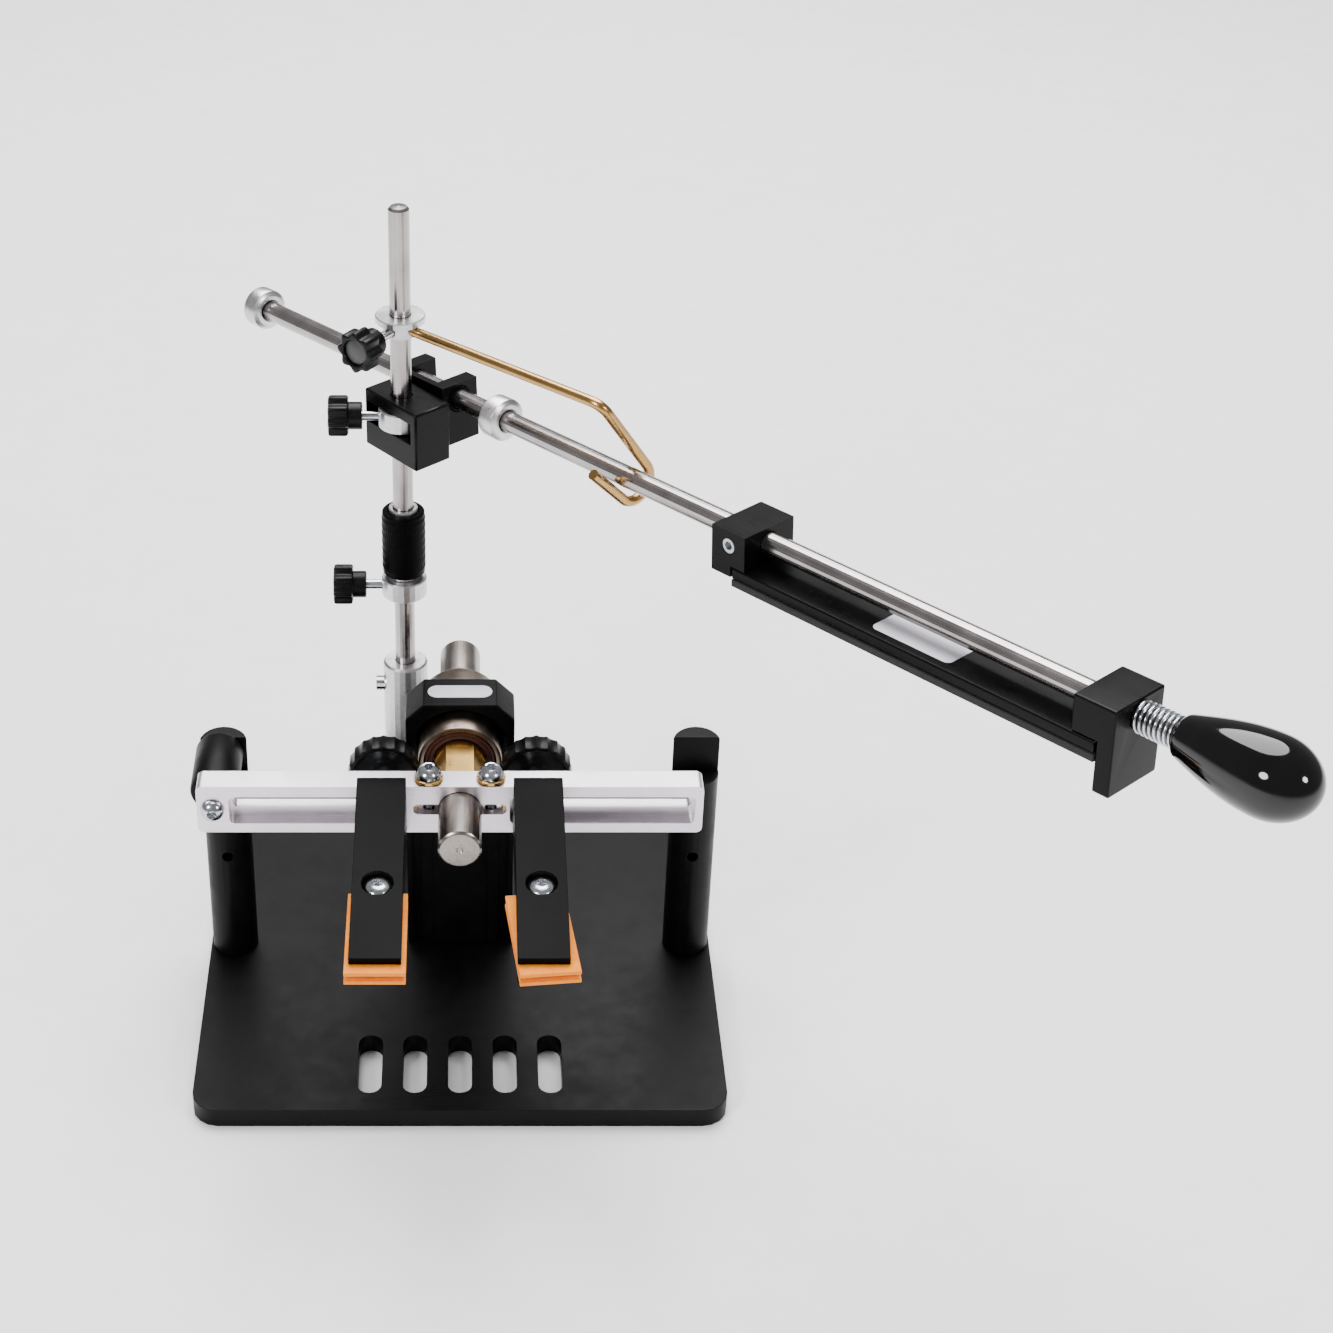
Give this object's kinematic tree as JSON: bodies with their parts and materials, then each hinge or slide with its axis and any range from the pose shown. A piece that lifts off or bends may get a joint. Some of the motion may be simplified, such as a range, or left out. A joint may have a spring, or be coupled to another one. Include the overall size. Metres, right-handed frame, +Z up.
{
  "type": "guided knife-sharpening jig",
  "caption": "Guided knife-sharpening jig with a turn-over clamp bar, lined jaws, a column and a sprung stone holder on a pivoting guide rod parked in a wire hook.",
  "frame": {"origin": "centre of the base plate's underside", "axes": "+X to the right, +Y to the back where the column stands, +Z up"},
  "size_m": [0.3472, 0.3962, 0.2927],
  "materials": {
    "base_coat": "black powder coat",
    "anodised_black": "black anodised",
    "moulded_plastic": "moulded",
    "gloss_handle": "gloss",
    "polished_steel": "polished",
    "bearing_steel": "ground, lightly oxidised",
    "zinc": "bright zinc plated",
    "satin_aluminium": "satin",
    "brass": "machined",
    "red_seal": "matte",
    "liner": "suede",
    "abrasive": "gritty"
  },
  "bodies": {
    "stand": {"base_plate": "base_coat", "left_post": "base_coat", "right_post": "base_coat", "left_post_screw": "zinc", "right_post_screw": "zinc", "left_upright_screw": "zinc", "right_upright_screw": "zinc", "upright": "base_coat", "bearing_housing": "base_coat", "bearing_shell": "bearing_steel", "bearing_liner": "polished_steel", "front_seal": "red_seal", "column_socket": "satin_aluminium", "socket_set_screw": "zinc", "column_rod": "polished_steel"},
    "clamp_frame": {"cross_bar": "satin_aluminium", "spindle": "polished_steel", "brass_sleeve": "brass", "rear_retainer": "polished_steel", "left_brass_bush": "brass", "right_brass_bush": "brass", "left_clamp_screw": "zinc", "right_clamp_screw": "zinc", "stop_rod": "base_coat", "stop_rod_screw": "zinc"},
    "left_jaw": {"left_upper_jaw": "anodised_black", "left_upper_liner": "liner"},
    "left_lower": {"left_lower_jaw": "anodised_black", "left_lower_liner": "liner"},
    "left_screw": {"left_jaw_screw": "zinc"},
    "left_knob": {"left_lock_knob": "moulded_plastic"},
    "right_jaw": {"right_upper_jaw": "anodised_black", "right_upper_liner": "liner"},
    "right_lower": {"right_lower_jaw": "anodised_black", "right_lower_liner": "liner"},
    "right_screw": {"right_jaw_screw": "zinc"},
    "right_knob": {"right_lock_knob": "moulded_plastic"},
    "lower_collar": {"lower_collar": "satin_aluminium", "adjuster_sleeve": "satin_aluminium"},
    "lower_thumbscrew": {"lower_thumbscrew": "moulded_plastic"},
    "adjuster_nut": {"adjuster_nut": "anodised_black"},
    "block_carriage": {"block_collar": "satin_aluminium"},
    "block_thumbscrew": {"block_thumbscrew": "moulded_plastic"},
    "pivot_block": {"pivot_block": "anodised_black", "pivot_screw": "zinc"},
    "yoke": {"yoke": "anodised_black"},
    "yoke_bush": {"yoke_bush": "anodised_black"},
    "arm": {"guide_rod": "polished_steel", "end_collar": "satin_aluminium", "stop_collar": "satin_aluminium", "front_stone_block": "anodised_black", "holder_set_screw": "zinc", "stone_blank": "anodised_black", "abrasive_strip": "abrasive", "holder_spring": "zinc"},
    "rear_block": {"rear_stone_block": "anodised_black"},
    "handle": {"handle": "gloss_handle"},
    "hook": {"hook_collar": "satin_aluminium", "hook_wire": "brass"},
    "hook_thumbscrew": {"hook_thumbscrew": "moulded_plastic"}
  },
  "joints": [
    {"name": "frame_flip", "type": "hinge", "parent": "stand", "child": "clamp_frame", "pos_m": [0, 0, 0.102], "axis": [0, 1, 0], "range_deg": [0, 180]},
    {"name": "left_jaw_slide", "type": "slide", "parent": "clamp_frame", "child": "left_jaw", "axis": [-1, 0, 0], "range_m": [0, 0.038]},
    {"name": "left_jaw_open", "type": "hinge", "parent": "left_jaw", "child": "left_lower", "pos_m": [-0.0287, -0.0538, 0.0975], "axis": [1, 0, 0], "range_deg": [-1, 3]},
    {"name": "left_jaw_screw_turn", "type": "hinge", "parent": "left_jaw", "child": "left_screw", "pos_m": [-0.0287, -0.0951, 0.102], "axis": [0, 0, 1], "continuous": true},
    {"name": "left_knob_turn", "type": "hinge", "parent": "left_jaw", "child": "left_knob", "pos_m": [-0.0287, 0, 0.102], "axis": [0, 1, 0], "continuous": true},
    {"name": "right_jaw_slide", "type": "slide", "parent": "clamp_frame", "child": "right_jaw", "axis": [1, 0, 0], "range_m": [0, 0.038]},
    {"name": "right_jaw_open", "type": "hinge", "parent": "right_jaw", "child": "right_lower", "pos_m": [0.0287, -0.0538, 0.0975], "axis": [1, 0, 0], "range_deg": [-1, 3]},
    {"name": "right_jaw_screw_turn", "type": "hinge", "parent": "right_jaw", "child": "right_screw", "pos_m": [0.0287, -0.0951, 0.102], "axis": [0, 0, 1], "continuous": true},
    {"name": "right_knob_turn", "type": "hinge", "parent": "right_jaw", "child": "right_knob", "pos_m": [0.0287, 0, 0.102], "axis": [0, 1, 0], "continuous": true},
    {"name": "lower_collar_slide", "type": "slide", "parent": "stand", "child": "lower_collar", "axis": [0, 0, 1], "range_m": [-0.026, 0.012]},
    {"name": "lower_thumbscrew_turn", "type": "hinge", "parent": "lower_collar", "child": "lower_thumbscrew", "pos_m": [-0.0224, 0.0728, 0.1305], "axis": [1, 0, 0], "continuous": true},
    {"name": "adjuster_turn", "type": "hinge", "parent": "lower_collar", "child": "adjuster_nut", "pos_m": [-0.0224, 0.0728, 0.15], "axis": [0, 0, 1], "continuous": true},
    {"name": "pivot_slide", "type": "slide", "parent": "stand", "child": "block_carriage", "axis": [0, 0, 1], "range_m": [-0.012, 0.035]},
    {"name": "block_thumbscrew_turn", "type": "hinge", "parent": "block_carriage", "child": "block_thumbscrew", "pos_m": [-0.0224, 0.0728, 0.2065], "axis": [1, 0, 0], "continuous": true},
    {"name": "block_swivel", "type": "hinge", "parent": "block_carriage", "child": "pivot_block", "pos_m": [-0.0224, 0.0728, 0.2], "axis": [0, 0, 1], "range_deg": [-75, 4]},
    {"name": "yoke_pitch", "type": "hinge", "parent": "pivot_block", "child": "yoke", "pos_m": [-0.00803, 0.08367, 0.19773], "axis": [-0.766, -0.6428, 0], "range_deg": [0, 3]},
    {"name": "rod_roll", "type": "hinge", "parent": "yoke", "child": "yoke_bush", "pos_m": [-0.00861, 0.08437, 0.2122], "axis": [0.6415, -0.7645, 0.0628], "continuous": true},
    {"name": "rod_slide", "type": "slide", "parent": "yoke_bush", "child": "arm", "axis": [0.6415, -0.7645, 0.0628], "range_m": [-0.014, 0.05]},
    {"name": "rear_block_slide", "type": "slide", "parent": "arm", "child": "rear_block", "axis": [0.6415, -0.7645, 0.0628], "range_m": [0, 0.008], "stiffness_N_per_m": 400, "deforming": ["holder_spring"]},
    {"name": "handle_turn", "type": "hinge", "parent": "arm", "child": "handle", "pos_m": [-0.00861, 0.08437, 0.2122], "axis": [0.6415, -0.7645, 0.0628], "continuous": true},
    {"name": "hook_swivel", "type": "hinge", "parent": "block_carriage", "child": "hook", "pos_m": [-0.0224, 0.0728, 0.2442], "axis": [0, 0, 1], "range_deg": [-75, 4]},
    {"name": "hook_thumbscrew_turn", "type": "hinge", "parent": "hook", "child": "hook_thumbscrew", "pos_m": [-0.0224, 0.0728, 0.2442], "axis": [-0.5878, -0.809, 0], "continuous": true}
  ],
  "couplings": [
    {"joint": "hook_swivel", "follows": "block_swivel", "ratio": 1}
  ]
}
